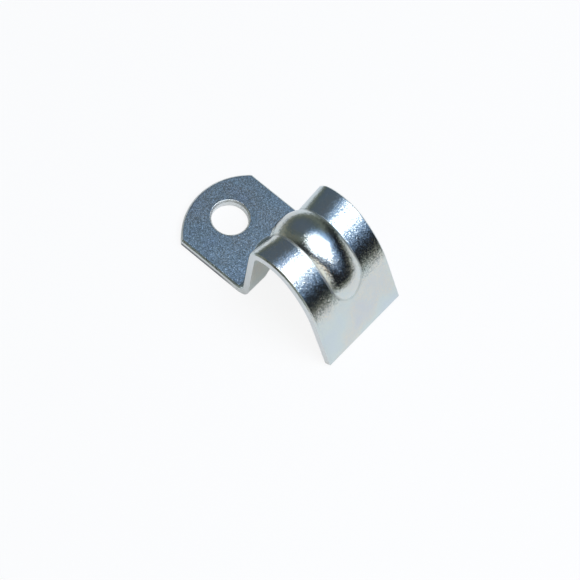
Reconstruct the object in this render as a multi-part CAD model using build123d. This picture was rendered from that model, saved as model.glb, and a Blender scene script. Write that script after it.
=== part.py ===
"""One-hole strap: a folded strip of zinc-plated sheet steel that holds a pipe against a wall.

The wall is the plane z = 0, under the screw tab. The origin is on the screw hole's axis. X runs
from the hole to the saddle, Y across the strip and Z out of the wall. Sizes are in millimetres.
"""
import math
import os
from build123d import *

# the strip
sheet = 1.5                 # thickness
strip_width = 19.05
edge_bevel = 0.3            # stands for the rolled rim that shearing leaves on the upper side

# the screw tab
hole_diameter = 6.75
hole_to_end = 7.3           # hole axis to the end of the tab
tab_end_radius = 13.0       # the rounded end, in plan
hole_to_riser = 11.0        # hole axis to the riser's face on the tab's side

# the side profile, all on the outer (tab's) side of the sheet
foot_bend_radius = 0.9      # hollow corner between tab and riser
height = 16.95              # wall to the top of the crown
head_bend_radius = 3.0      # corner between riser and crown, at the strip's edges
head_bend_radius_at_rib = 5.0   # the same corner is drawn in softer beside the rib
head_bend_end = -18.7       # slope where that corner runs into the crown, degrees, uphill is minus
crown_radius = 9.25         # at the strip's edges
crown_end = 30.0            # slope where the crown runs into the shoulder
shoulder_radius = 19.0
leg_slope = 61.0            # slope of the straight leg, which ends at the wall

# the stiffening rib, pressed out of the sheet from below
rib_width = 7.4             # at its foot
rib_height = 1.15
rib_crease_radius = 0.35    # hollow fillet along its foot
rib_nose_start = 47.0       # slope on the shoulder where the crest starts to sink
rib_nose_radius = 7.2       # radius of the sinking crest
rib_nose_end = 120.0        # slope where the crest's run ends, well inside the sheet
rib_foot_rise = 2.6         # height above the tab where the crest leaves the riser
rib_foot_slope = 45.0       # of the slanted run from there down to the tab
rib_foot_blend = 1.5        # hollow radius between the slanted run and the riser's

# helper sizes of the solids that the sheet is cut from
depth = 6.0                 # how far they reach below the wall
overrun = 4.0               # how far a cutting solid passes the sheet
rib_depth = 3.0             # height of the rib's round segment
core_half_width = 2.5       # the part of the profile that the rib hides
tolerance = 0.01            # for picking edges


def outward(slope):
    """Unit vector square to the outer face where it slopes down by this angle."""
    angle = math.radians(slope)
    return Vector(math.sin(angle), 0, math.cos(angle))


def downhill(slope):
    """Unit vector along the face where it slopes down by this angle."""
    angle = math.radians(slope)
    return Vector(math.cos(angle), 0, -math.sin(angle))


def arc(centre, radius, start, end):
    """Arc in the side view from one slope to another."""
    middle = (start + end) / 2
    points = [centre + outward(slope) * radius for slope in (start, middle, end)]
    return ThreePointArc(*points)


# fixed points of the profile: the crown's end, the shoulder's end and the leg's length
sine_head = -outward(head_bend_end).X
sine_crown = outward(crown_end).X
crown_x = hole_to_riser + head_bend_radius + (crown_radius - head_bend_radius) * sine_head
crown_centre = Vector(crown_x, 0, height - crown_radius)
crown_foot = crown_centre + outward(crown_end) * crown_radius
shoulder_centre = crown_foot - outward(crown_end) * shoulder_radius
shoulder_foot = shoulder_centre + outward(leg_slope) * shoulder_radius
inner_shoulder_foot = shoulder_foot - outward(leg_slope) * sheet
leg_length = inner_shoulder_foot.Z / outward(90 - leg_slope).Z
tip = shoulder_foot + downhill(leg_slope) * leg_length


def head_and_crown(head_radius):
    """Centres and crown radius of a head bend that still meets the riser and the crown's end."""
    run = crown_foot.X - hole_to_riser - head_radius * (1 - sine_head)
    radius = run / (sine_crown + sine_head)
    centre = crown_foot - outward(crown_end) * radius
    head_centre = centre + outward(head_bend_end) * (radius - head_radius)
    return head_centre, centre, radius


def sheet_side(head_radius, inset, start_x, leg):
    """One side of the sheet from the tab over the crown to the leg, moved inwards by inset."""
    head_centre, centre, radius = head_and_crown(head_radius)
    foot_centre = Vector(hole_to_riser - foot_bend_radius, 0, sheet + foot_bend_radius)
    foot_radius = foot_bend_radius + inset
    tab_start = Vector(start_x, 0, sheet - inset)
    foot_start = foot_centre - Vector(0, 0, foot_radius)
    foot_middle = foot_centre + Vector(1, 0, -1).normalized() * foot_radius
    foot_end = foot_centre + Vector(foot_radius, 0, 0)
    head_start = head_centre + outward(-90) * (head_radius - inset)
    leg_start = shoulder_foot - outward(leg_slope) * inset
    return [
        Line(tab_start, foot_start),
        ThreePointArc(foot_start, foot_middle, foot_end),
        Line(foot_end, head_start),
        arc(head_centre, head_radius - inset, -90, head_bend_end),
        arc(centre, radius - inset, head_bend_end, crown_end),
        arc(shoulder_centre, shoulder_radius - inset, crown_end, leg_slope),
        Line(leg_start, leg_start + downhill(leg_slope) * leg),
    ]


def filled(head_radius, inset, y):
    """Face under one side of the sheet at this y; the inner one passes the outer one's ends."""
    if inset:
        start_x = -hole_to_end - 2 * overrun
        low = -depth - overrun
        side = sheet_side(head_radius, inset, start_x, leg_length + overrun)
        corner = Vector(side[-1] @ 1)
        closing = [corner, Vector(corner.X, 0, low), Vector(start_x, 0, low), side[0] @ 0]
    else:
        start_x = -hole_to_end - overrun
        side = sheet_side(head_radius, inset, start_x, leg_length)
        under_tip = tip - outward(leg_slope) * (sheet + overrun)
        closing = [tip, under_tip, Vector(start_x, 0, -depth), side[0] @ 0]
    lines = [Line(a, b) for a, b in zip(closing, closing[1:])]
    return Pos(0, y, 0) * make_face(Curve() + side + lines)


def under_sheet(inset):
    """Everything under one side of the strip: a plain core and two flanks drawn in towards it."""
    core_face = filled(head_bend_radius_at_rib, inset, -core_half_width)
    solid = extrude(core_face, 2 * core_half_width, dir=(0, 1, 0))
    for side in (-1, 1):
        core_side = filled(head_bend_radius_at_rib, inset, side * core_half_width)
        edge = filled(head_bend_radius, inset, side * strip_width / 2)
        solid += loft([core_side.face(), edge.face()], ruled=True)
        if inset:
            solid += extrude(edge, overrun, dir=(0, side, 0))
    return solid


def rib_section(crest, along, inset):
    """Round segment across the rib, with its top at the crest and square to the crest's run."""
    half = rib_width / 2
    radius = (half**2 + rib_height**2) / (2 * rib_height) - inset
    half_chord = math.sqrt(radius**2 - (radius - rib_depth) ** 2)
    left = (-half_chord, -rib_depth)
    right = (half_chord, -rib_depth)
    segment = make_face(ThreePointArc(left, (0, 0), right) + Line(right, left))
    return Plane(crest, x_dir=(0, 1, 0), z_dir=along) * segment


def rib(inset):
    """The rib's outer form, or with an inset its hollow, stretch by stretch along the crest."""
    head_centre, centre, radius = head_and_crown(head_bend_radius_at_rib)
    rise = rib_height - inset

    # up from the tab on a slant, then straight up the riser
    bend = Vector(hole_to_riser - rib_height, 0, sheet + rib_foot_rise)
    slant = downhill(-rib_foot_slope)
    slant_run = rib_foot_rise / slant.Z
    slant_start = bend - slant * (slant_run + overrun) - outward(-rib_foot_slope) * inset
    slanted = extrude(rib_section(slant_start, slant, inset), slant_run + 2 * overrun, dir=slant)
    upright_start = Vector(hole_to_riser - rise, 0, -sheet)
    upright_section = rib_section(upright_start, (0, 0, 1), inset)
    upright = extrude(upright_section, head_centre.Z + sheet, dir=(0, 0, 1))
    solid = slanted + upright
    joint = new_edges(slanted, upright, combined=solid).sort_by_distance(bend)[0]
    solid = fillet(joint, rib_foot_blend + inset)

    # over the head bend, crown and shoulder, then sinking into the sheet as a nose
    nose_offset = shoulder_radius + rib_height - rib_nose_radius
    nose_centre = shoulder_centre + outward(rib_nose_start) * nose_offset
    stretches = [
        (head_centre, head_bend_radius_at_rib + rise, -90, head_bend_end),
        (centre, radius + rise, head_bend_end, crown_end),
        (shoulder_centre, shoulder_radius + rise, crown_end, rib_nose_start),
        (nose_centre, rib_nose_radius - inset, rib_nose_start, rib_nose_end),
    ]
    for middle, crest_radius, slope, end_slope in stretches:
        crest = middle + outward(slope) * crest_radius
        section = rib_section(crest, downhill(slope), inset)
        solid += revolve(section, Axis(middle, (0, 1, 0)), end_slope - slope)
    return solid


def pressed(inset):
    """One side of the strip with the rib on it and the crease along the rib's foot rounded."""
    plain = under_sheet(inset)
    ridge = rib(inset)
    joined = plain + ridge
    creases = new_edges(plain, ridge, combined=joined)
    return fillet(creases, rib_crease_radius + inset)


def bevel_upper_rim(solid):
    """Break the blank's upper rim: both long edges, the tab's end and the leg's tip."""
    rim = ShapeList()
    for edge in solid.edges():
        middle = edge.position_at(0.5)
        on_side = abs(abs(middle.Y) - strip_width / 2) < tolerance
        at_tab_end = middle.X < tolerance - hole_to_end
        at_tip = middle.X > tip.X - tolerance
        if middle.Z > 0 and (on_side or at_tab_end or at_tip):
            rim.append(edge)
    return chamfer(rim, edge_bevel)


# the blank's outline in plan: a strip with one rounded end
end_centre_x = tab_end_radius - hole_to_end
plan_length = tip.X - end_centre_x + overrun
plan_width = strip_width + 2 * overrun
plan = Pos(end_centre_x, 0) * Circle(tab_end_radius)
plan += Pos(end_centre_x + plan_length / 2, 0) * Rectangle(plan_length, plan_width)
blank = extrude(Pos(0, 0, -depth - overrun) * plan, depth + height + 2 * overrun)

# the sheet is what lies between its two sides
strap = bevel_upper_rim(pressed(0) & blank) - pressed(sheet)

# the screw hole, bevelled at the top like the rim
strap -= Cylinder(hole_diameter / 2, 2 * depth)
hole_top = strap.edges().filter_by(GeomType.CIRCLE).sort_by_distance((0, 0, sheet))[0]
strap = chamfer(hole_top, edge_bevel)

os.makedirs("parts", exist_ok=True)
export_step(strap, "parts/strap.step")
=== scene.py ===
import math

import bpy
from mathutils import Matrix, Vector

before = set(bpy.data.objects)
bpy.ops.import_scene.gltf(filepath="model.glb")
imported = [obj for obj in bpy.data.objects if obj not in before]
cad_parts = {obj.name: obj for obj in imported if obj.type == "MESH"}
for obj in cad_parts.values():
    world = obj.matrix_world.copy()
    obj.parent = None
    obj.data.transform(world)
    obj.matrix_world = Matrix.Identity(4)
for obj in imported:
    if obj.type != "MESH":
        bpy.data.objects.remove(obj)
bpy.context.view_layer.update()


# The strap: one strip of cold-rolled sheet steel, blanked, punched and pressed in one stroke and
# then plated with zinc. The plating has a bluish passivated skin over the sheet's fine rolled
# grain, so reflections keep their shape but their borders break up into specks.
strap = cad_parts["strap"]
mm = 0.001


def linear(hex_colour):
    """Linear RGBA of an sRGB hex colour."""
    channels = [int(hex_colour[i:i + 2], 16) / 255 for i in (1, 3, 5)]
    return [c / 12.92 if c <= 0.04045 else ((c + 0.055) / 1.055) ** 2.4 for c in channels] + [1]


def node(tree, kind, inputs=None, **settings):
    """Adds a node with these properties; an input is linked to a socket or set to a value."""
    made = tree.nodes.new(kind)
    for name, value in settings.items():
        setattr(made, name, value)
    for key, value in (inputs or {}).items():
        if isinstance(value, bpy.types.NodeSocket):
            tree.links.new(value, made.inputs[key])
        else:
            made.inputs[key].default_value = value
    return made


def fill_ramp(ramp, stops):
    """Gives a colour ramp these stops, each a position and a hex colour."""
    elements = ramp.color_ramp.elements
    for element, (position, hex_colour) in zip(elements, (stops[0], stops[-1])):
        element.position, element.color = position, linear(hex_colour)
    for position, hex_colour in stops[1:-1]:
        elements.new(position).color = linear(hex_colour)


zinc = bpy.data.materials.new("blue_zinc_plated_steel")
zinc.use_nodes = True
tree = zinc.node_tree
shader = tree.nodes["Principled BSDF"]
shader.inputs["Metallic"].default_value = 1.0
on_strap = node(tree, "ShaderNodeTexCoord").outputs["Object"]

# Bright zinc is a mirror broken into small crystals. Most lie almost flat and a few are tilted, so
# highlights end in specks and dark parts sparkle. The crystals are drawn coarser than real ones.
crystal_size = 0.12 * mm
crystal_tilt = 0.105        # slope of most crystals
crystal_tail = 0.2          # added slope of the few that stand out
rim_round = 0.15 * mm       # plating leaves no rim sharp
rim_samples = 6
half = (0.5, 0.5, 0.5)
crystals = node(tree, "ShaderNodeTexVoronoi", {"Vector": on_strap, "Scale": 1 / crystal_size})
off_flat = node(tree, "ShaderNodeVectorMath", {0: crystals.outputs["Color"], 1: half},
                operation="SUBTRACT")
lean = off_flat.outputs["Vector"]
squared = node(tree, "ShaderNodeVectorMath", {0: lean, 1: lean}, operation="MULTIPLY")
spread = node(tree, "ShaderNodeVectorMath",
              {0: squared.outputs["Vector"], 1: [crystal_tail] * 3, 2: [crystal_tilt] * 3},
              operation="MULTIPLY_ADD")
rounded = node(tree, "ShaderNodeBevel", {"Radius": rim_round}, samples=rim_samples)
turned = node(tree, "ShaderNodeVectorMath",
              {0: lean, 1: spread.outputs["Vector"], 2: rounded.outputs["Normal"]},
              operation="MULTIPLY_ADD")
facet = node(tree, "ShaderNodeVectorMath", {0: turned.outputs["Vector"]}, operation="NORMALIZE")
tree.links.new(facet.outputs["Vector"], shader.inputs["Normal"])

# The passivated skin on it has a faint stain, so the tone drifts every few millimetres between
# blue, green and straw, and each crystal takes up more or less of that stain.
stain_size = 7 * mm
stain_draw = 2.0            # picks one of many stains
stain_tones = [(0.32, "#d2dbdc"), (0.46, "#d9e0d6"), (0.58, "#e3dcca"), (0.7, "#d6d4d2")]
stain = node(tree, "ShaderNodeTexNoise",
             {"Vector": on_strap, "Scale": 1 / stain_size, "W": stain_draw}, noise_dimensions="4D")
skin = node(tree, "ShaderNodeValToRGB", {"Fac": stain.outputs["Fac"]})
fill_ramp(skin, stain_tones)
pick = node(tree, "ShaderNodeSeparateColor", {"Color": crystals.outputs["Color"]})
rolled_colour = node(tree, "ShaderNodeMix",
                     {"Factor": pick.outputs["Blue"], "A": skin.outputs["Color"],
                      "B": linear("#d2d9d8")}, data_type="RGBA")

# Sheared faces are cut, not rolled, so their zinc is satin and paler: the strip's two sides, the
# tab's rounded end and the rim of the screw hole. Along the tab's two sides, and not in the hole,
# the lower half of each side is coloured darker, in a band up to the bend.
side_share = 0.95           # a normal with more than this across the strip is a side's
flat_share = 0.9            # a normal with less than this up or down is not the tab's flat face
tab_corner = -3.1 * mm      # the rounded end lies beyond this along the strip
hole_reach = 4.2 * mm       # the hole's rim lies within this of the origin
sheared_roughness = 0.45
dark_side_top, pale_side_bottom = 0.45 * mm, 0.8 * mm   # darker below the first, paler above the second
dark_side_end, pale_side_start = 6 * mm, 9.5 * mm          # the band runs out between these
surface = node(tree, "ShaderNodeNewGeometry")
facing = node(tree, "ShaderNodeSeparateXYZ", {"Vector": surface.outputs["True Normal"]})
across = node(tree, "ShaderNodeMath", {0: facing.outputs["Y"]}, operation="ABSOLUTE")
strip_side = node(tree, "ShaderNodeMath", {0: across.outputs["Value"], 1: side_share},
                  operation="GREATER_THAN")
upward = node(tree, "ShaderNodeMath", {0: facing.outputs["Z"]}, operation="ABSOLUTE")
tipped = node(tree, "ShaderNodeMath", {0: upward.outputs["Value"], 1: flat_share},
              operation="LESS_THAN")
along = node(tree, "ShaderNodeSeparateXYZ", {"Vector": on_strap})
at_end = node(tree, "ShaderNodeMath", {0: along.outputs["X"], 1: tab_corner},
              operation="LESS_THAN")
off_axis = node(tree, "ShaderNodeVectorMath", {0: on_strap}, operation="LENGTH")
at_hole = node(tree, "ShaderNodeMath", {0: off_axis.outputs["Value"], 1: hole_reach},
               operation="LESS_THAN")
end_or_hole = node(tree, "ShaderNodeMath",
                   {0: at_end.outputs["Value"], 1: at_hole.outputs["Value"]}, operation="MAXIMUM")
tab_rim = node(tree, "ShaderNodeMath",
               {0: tipped.outputs["Value"], 1: end_or_hole.outputs["Value"]}, operation="MULTIPLY")
sheared = node(tree, "ShaderNodeMath",
               {0: strip_side.outputs["Value"], 1: tab_rim.outputs["Value"]}, operation="MAXIMUM")
darker_below = node(tree, "ShaderNodeMapRange",
                  {"Value": along.outputs["Z"], "From Min": dark_side_top, "From Max": pale_side_bottom,
                   "To Min": 1.0, "To Max": 0.0})
darker_before = node(tree, "ShaderNodeMapRange",
                   {"Value": along.outputs["X"], "From Min": dark_side_end, "From Max": pale_side_start,
                    "To Min": 1.0, "To Max": 0.0})
dark_side_band = node(tree, "ShaderNodeMath",
                 {0: darker_below.outputs["Result"], 1: darker_before.outputs["Result"]},
                 operation="MULTIPLY")
off_hole = node(tree, "ShaderNodeMath",
                {0: strip_side.outputs["Value"], 1: tab_rim.outputs["Value"]},
                operation="GREATER_THAN")
dark_lower_side = node(tree, "ShaderNodeMath",
            {0: dark_side_band.outputs["Value"], 1: off_hole.outputs["Value"]}, operation="MULTIPLY")
sheared_colour = node(tree, "ShaderNodeMix",
                      {"Factor": dark_lower_side.outputs["Value"], "A": linear("#e4e5e1"),
                       "B": linear("#85878a")}, data_type="RGBA")
strip_colour = node(tree, "ShaderNodeMix",
                    {"Factor": sheared.outputs["Value"], "A": rolled_colour.outputs["Result"],
                     "B": sheared_colour.outputs["Result"]}, data_type="RGBA")
sheared_part = node(tree, "ShaderNodeMath",
                    {0: sheared.outputs["Value"], 1: sheared_roughness}, operation="MULTIPLY")

# The press tool leaves a satin line in the creases beside the rib, and painted shade darkens the
# colour along its borders. A crease is found by how much of the space above a point is open.
crease_reach = 0.4 * mm
crease_samples = 32
crease_shade_tones = [(0.962, "#ffffff"), (0.982, "#aaaaaa"), (0.996, "#ffffff")]
satin_core, satin_border = 0.96, 0.98
satin_roughness = 0.6
zinc_roughness = 0.16
hollow = node(tree, "ShaderNodeAmbientOcclusion", {"Distance": crease_reach},
              samples=crease_samples, only_local=True)
painted_crease_shade = node(tree, "ShaderNodeValToRGB", {"Fac": hollow.outputs["AO"]})
fill_ramp(painted_crease_shade, crease_shade_tones)
# Multiplies the painted crease shade into the strip's colour.
colour = node(tree, "ShaderNodeMix",
              {"Factor": 1.0, "A": strip_colour.outputs["Result"], "B": painted_crease_shade.outputs["Color"]},
              data_type="RGBA", blend_type="MULTIPLY")
tree.links.new(colour.outputs["Result"], shader.inputs["Base Color"])
satin = node(tree, "ShaderNodeMapRange",
             {"Value": hollow.outputs["AO"], "From Min": satin_core, "From Max": satin_border,
              "To Min": satin_roughness, "To Max": zinc_roughness})
roughness = node(tree, "ShaderNodeMath",
                 {0: satin.outputs["Result"], 1: sheared_part.outputs["Value"]},
                 operation="MAXIMUM")
tree.links.new(roughness.outputs["Value"], shader.inputs["Roughness"])
strap.data.materials[0] = zinc


# The floor: a large sheet of white paper that the strap lies on, with a painted pool of light: its
# colour is white around the strap and falls off to grey further out. It keeps the strap's soft
# shadow.
floor_size = 3.0
bpy.ops.object.select_all(action="DESELECT")
bpy.ops.mesh.primitive_plane_add(size=floor_size, location=(0, 0, 0))
floor = bpy.context.object
floor.name = "floor"

# White paper is matt and has no gloss. Most of what the camera sees of it is its plain colour,
# given off as a glow that carries the painted pool of light, so the picture's ground is white, and
# metal mirrors some of that colour and all of its shadow.
paper_roughness = 0.9
light_pool_reach, light_pool_edge = 100 * mm, 200 * mm
seen_share = 0.88           # of plain colour, to the camera
mirrored_share = 0.25       # of plain colour, in a mirror or through glass
paper = bpy.data.materials.new("white_paper")
paper.use_nodes = True
tree = paper.node_tree
shader = tree.nodes["Principled BSDF"]
shader.inputs["Roughness"].default_value = paper_roughness
shader.inputs["Specular IOR Level"].default_value = 0.0
on_floor = node(tree, "ShaderNodeTexCoord").outputs["Object"]
away = node(tree, "ShaderNodeVectorMath", {0: on_floor}, operation="LENGTH")
# Painted pool of light: the paper's colour is white out to the first reach and grey beyond the
# second.
light_pool_falloff = node(tree, "ShaderNodeMapRange",
            {"Value": away.outputs["Value"], "From Min": light_pool_reach, "From Max": light_pool_edge})
painted_light_pool = node(tree, "ShaderNodeMix",
             {"Factor": light_pool_falloff.outputs["Result"], "A": linear("#ffffff"), "B": linear("#a2a6a2")},
             data_type="RGBA")
tree.links.new(painted_light_pool.outputs["Result"], shader.inputs["Base Color"])
plain = node(tree, "ShaderNodeEmission", {"Color": painted_light_pool.outputs["Result"]})
path = node(tree, "ShaderNodeLightPath")
mirrored = node(tree, "ShaderNodeMath",
                {0: path.outputs["Is Glossy Ray"], 1: path.outputs["Is Transmission Ray"]},
                operation="ADD")
mirrored_part = node(tree, "ShaderNodeMath",
                     {0: mirrored.outputs["Value"], 1: mirrored_share}, operation="MULTIPLY")
plain_part = node(tree, "ShaderNodeMath",
                  {0: path.outputs["Is Camera Ray"], 1: seen_share,
                   2: mirrored_part.outputs["Value"]}, operation="MULTIPLY_ADD")
mixed = node(tree, "ShaderNodeMixShader",
             {0: plain_part.outputs["Value"], 1: shader.outputs["BSDF"],
              2: plain.outputs["Emission"]})
tree.links.new(mixed.outputs["Shader"], tree.nodes["Material Output"].inputs["Surface"])
floor.data.materials.append(paper)


# The studio: a dim room with a grey-green wall behind the screw tab and a bluish glow on the
# ceiling around its one large soft box, which hangs overhead on the saddle's side. A strip light
# stands in front of the strap on the right, and a pale card in front fills in the low directions.
wall_towards = Vector((-0.6, 0.35, 0.72))
wall_tones = [(0.2, "#14171d"), (0.55, "#2c3032"), (0.74, "#757b75"), (0.86, "#5a6466"),
              (0.95, "#5a6675")]
glow_towards = Vector((0.376, 0.242, 0.895))
glow_rim, glow_core = 0.73, 0.92
card_lean = (0.15, 0.4, 1.0)
card_top, card_fade = 0.04, 0.1
world = bpy.data.worlds.new("dim_studio")
bpy.context.scene.world = world
world.use_nodes = True
tree = world.node_tree
direction = node(tree, "ShaderNodeTexCoord").outputs["Generated"]
to_wall = node(tree, "ShaderNodeVectorMath", {0: direction, 1: wall_towards.normalized()},
               operation="DOT_PRODUCT")
wall = node(tree, "ShaderNodeValToRGB", {"Fac": to_wall.outputs["Value"]})
fill_ramp(wall, wall_tones)
to_glow = node(tree, "ShaderNodeVectorMath", {0: direction, 1: glow_towards.normalized()},
               operation="DOT_PRODUCT")
glow = node(tree, "ShaderNodeMapRange",
            {"Value": to_glow.outputs["Value"], "From Min": glow_rim, "From Max": glow_core},
            interpolation_type="SMOOTHSTEP")
room = node(tree, "ShaderNodeMix",
            {"Factor": glow.outputs["Result"], "A": wall.outputs["Color"],
             "B": linear("#a8ccff")}, data_type="RGBA")
above_floor = node(tree, "ShaderNodeSeparateXYZ", {"Vector": direction})
above_card = node(tree, "ShaderNodeVectorMath", {0: direction, 1: card_lean},
                  operation="DOT_PRODUCT")
above_both = node(tree, "ShaderNodeMath",
                  {0: above_floor.outputs["Z"], 1: above_card.outputs["Value"]},
                  operation="MINIMUM")
over_card = node(tree, "ShaderNodeMapRange",
                 {"Value": above_both.outputs["Value"], "From Min": card_top,
                  "From Max": card_fade})
seen = node(tree, "ShaderNodeMix",
            {"Factor": over_card.outputs["Result"], "A": linear("#8c928c"),
             "B": room.outputs["Result"]}, data_type="RGBA")
tree.links.new(seen.outputs["Result"], tree.nodes["Background"].inputs["Color"])
tree.nodes["Background"].inputs["Strength"].default_value = 1.0


def soft_box(name, place, behind, along, size, level, shape="RECTANGLE"):
    """Hangs a lamp with its back to one direction and its length along another; 1 is white."""
    lamp = bpy.data.lights.new(name, "AREA")
    lamp.shape = shape
    lamp.size, lamp.size_y = size
    area = size[0] * size[1] * (math.pi / 4 if shape == "ELLIPSE" else 1)
    lamp.energy = level * math.pi * area
    hung = bpy.data.objects.new(name, lamp)
    bpy.context.scene.collection.objects.link(hung)
    z = Vector(behind).normalized()
    y = z.cross(Vector(along)).normalized()
    turn = Matrix((y.cross(z), y, z)).transposed().to_4x4()
    hung.matrix_world = Matrix.Translation(place) @ turn


box_height = 500 * mm
box_place = Vector((0.55, 0.15, 1.0)) * box_height
box_along = (0.92, 0.39, 0)
box_size = (720 * mm, 500 * mm)
box_level = 2.6
soft_box("overhead_soft_box", box_place, (0, 0, 1), box_along, box_size, box_level, "ELLIPSE")
strip_height = 350 * mm
strip_place = Vector((1.3, -1.2, 1.0)) * strip_height
strip_along = (1.9, -0.3, 0)
strip_size = (500 * mm, 250 * mm)
strip_level = 1.1
soft_box("strip_light", strip_place, strip_place, strip_along, strip_size, strip_level)


# The camera: a long lens high above the strap's near right, rolled a little, as in the
# photograph. Angles are in degrees, and azimuth 0 looks along +Y.
camera_azimuth = 28.95
camera_elevation = 61.56
camera_roll = 13.26
camera_distance = 391.9 * mm
aim = Vector((18.463, -5.757, 6.0)) * mm
focal_length, sensor_width = 139.79, 36.0
clip_near, clip_far = 0.01, 10.0
lens = bpy.data.cameras.new("camera")
lens.lens = focal_length
lens.sensor_width = sensor_width
lens.clip_start, lens.clip_end = clip_near, clip_far
camera = bpy.data.objects.new("camera", lens)
bpy.context.scene.collection.objects.link(camera)
azimuth, elevation = math.radians(camera_azimuth), math.radians(camera_elevation)
back = Vector((math.sin(azimuth) * math.cos(elevation),
               -math.cos(azimuth) * math.cos(elevation), math.sin(elevation)))
turn = (-back).to_track_quat("-Z", "Y").to_matrix().to_4x4()
roll = Matrix.Rotation(math.radians(camera_roll), 4, "Z")
camera.matrix_world = Matrix.Translation(aim + back * camera_distance) @ turn @ roll
bpy.context.scene.camera = camera
bpy.context.scene.view_settings.view_transform = "Standard"
